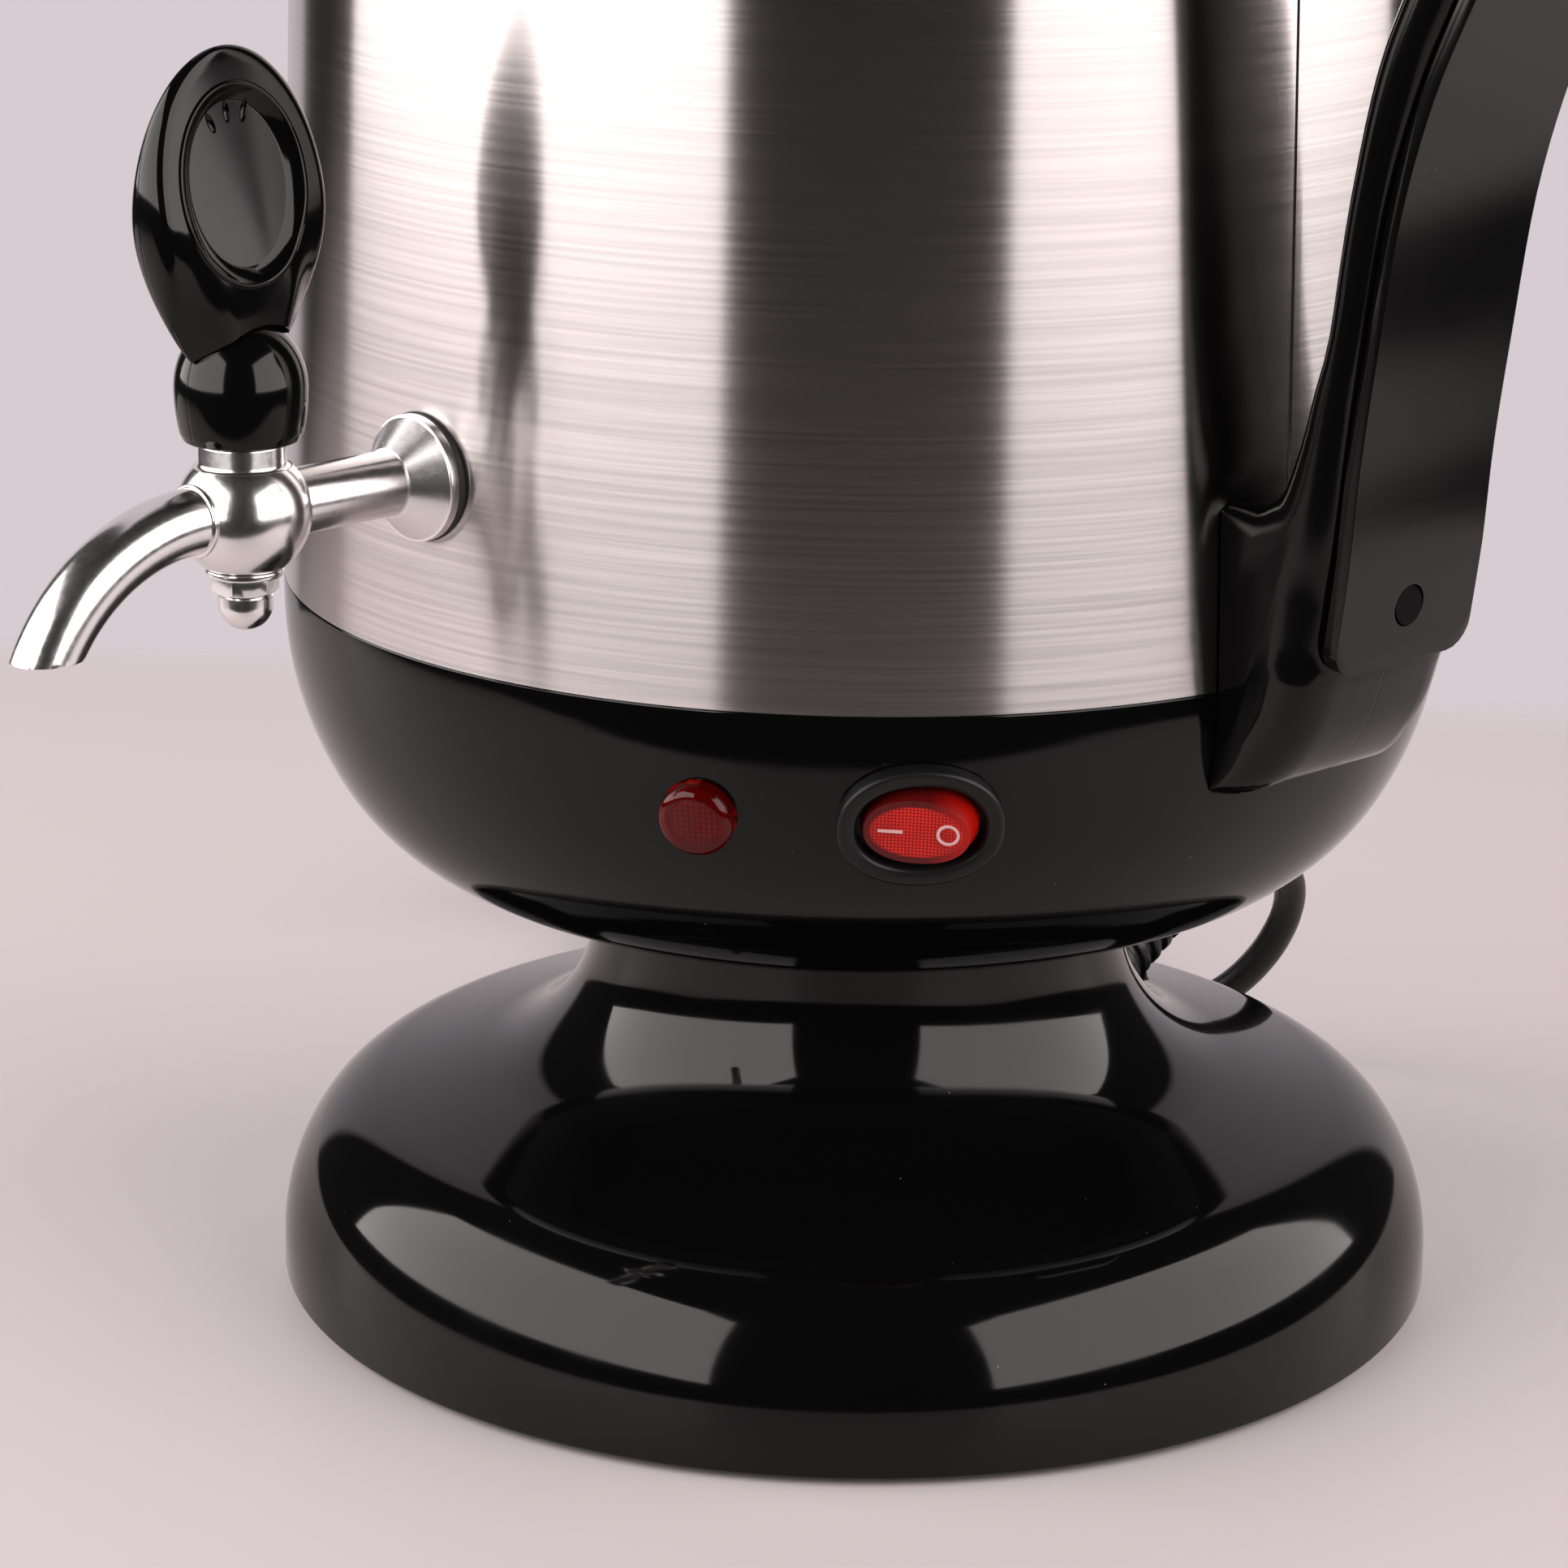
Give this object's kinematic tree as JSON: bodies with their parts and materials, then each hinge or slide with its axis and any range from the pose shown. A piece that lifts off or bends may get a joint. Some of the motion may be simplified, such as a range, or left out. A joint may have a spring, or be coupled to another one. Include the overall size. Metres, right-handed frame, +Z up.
{
  "type": "electric samovar",
  "caption": "Electric samovar: brushed steel boiler on a glossy black bowl and pedestal, with a plug tap, ear handles, lift-off lid, lit rocker switch, lamp and mains lead.",
  "frame": {"origin": "on the table under the middle of the round base", "axes": "+Z up, the tap points along -Y, the handles lie along +X and -X, the lamp and switch between -Y and +X"},
  "size_m": [0.3692, 0.361, 0.4064],
  "materials": {
    "brushed_steel": "fine brushing round the body, soft vertical bands",
    "plain_steel": "plain rolled sheet",
    "black_gloss": "high gloss moulded plastic",
    "black_satin": "satin moulded plastic",
    "chrome": "polished plating with light scratches",
    "brass": "turned brass",
    "cast_aluminium": "cast, as moulded",
    "heater_steel": "heat darkened tube",
    "dark_ceramic": "matt moulding",
    "white_ceramic": "unglazed white",
    "foot_rubber": "matt rubber",
    "white_silicone": "soft silicone",
    "screw_steel": "zinc plated",
    "dark_steel": "black oxide",
    "red_lens": "clear dark red lens over a fine grid",
    "red_rocker": "translucent red with a fine grid and white marks",
    "lead_black": "smooth flexible sheath",
    "tie_black": "woven strap",
    "pin_nickel": "nickel plated"
  },
  "bodies": {
    "body": {"boiler_shell": "brushed_steel", "boiler_floor": "plain_steel", "heater_plate": "cast_aluminium", "heater_tube": "heater_steel", "thermostat": "dark_ceramic", "thermal_cutout": "white_ceramic", "terminal_block": "white_ceramic", "lower_bowl": "black_gloss", "pedestal": "black_gloss", "base_cover": "black_satin", "foot_1": "foot_rubber", "foot_2": "foot_rubber", "foot_3": "foot_rubber", "foot_4": "foot_rubber", "base_screws": "screw_steel", "cover_screws": "screw_steel", "tap_shank": "chrome", "tap_flange": "chrome", "tap_gasket": "foot_rubber", "tap_inner_seal": "foot_rubber", "tap_lock_nut": "brass", "tap_ball": "chrome", "tap_spout": "chrome", "lamp_lens": "red_lens", "lamp_body": "black_satin", "switch_housing": "black_gloss", "switch_nut_plate": "black_satin", "handle_right": "black_gloss", "handle_left": "black_gloss", "handle_right_cover": "black_gloss", "handle_left_cover": "black_gloss", "handle_brackets": "plain_steel", "handle_screws": "dark_steel", "handle_top_screws": "screw_steel", "top_collar": "black_gloss", "cord_relief": "lead_black", "cord": "lead_black", "cord_coil": "lead_black", "cord_tie": "tie_black", "mains_plug": "lead_black", "mains_plug_pins": "pin_nickel"},
    "tap_key": {"tap_plug": "brass", "tap_lever": "black_gloss", "tap_washer": "chrome", "tap_cap_nut": "chrome"},
    "rocker": {"switch_rocker": "red_rocker"},
    "lid": {"lid": "brushed_steel", "lid_seal": "white_silicone", "lid_knob": "black_gloss", "lid_knob_screw": "screw_steel"}
  },
  "joints": [
    {"name": "tap_turn", "type": "hinge", "parent": "body", "child": "tap_key", "pos_m": [0, -0.14817, 0.172], "axis": [0, 0, 1], "range_deg": [-90, 90]},
    {"name": "rocker_tilt", "type": "hinge", "parent": "body", "child": "rocker", "pos_m": [0.08204, -0.06763, 0.1221], "axis": [0.1754, -0.1446, 0.9738], "range_deg": [0, 20]},
    {"name": "lid_lift", "type": "slide", "parent": "body", "child": "lid", "axis": [0, 0, 1], "range_m": [0, 0.1]}
  ]
}
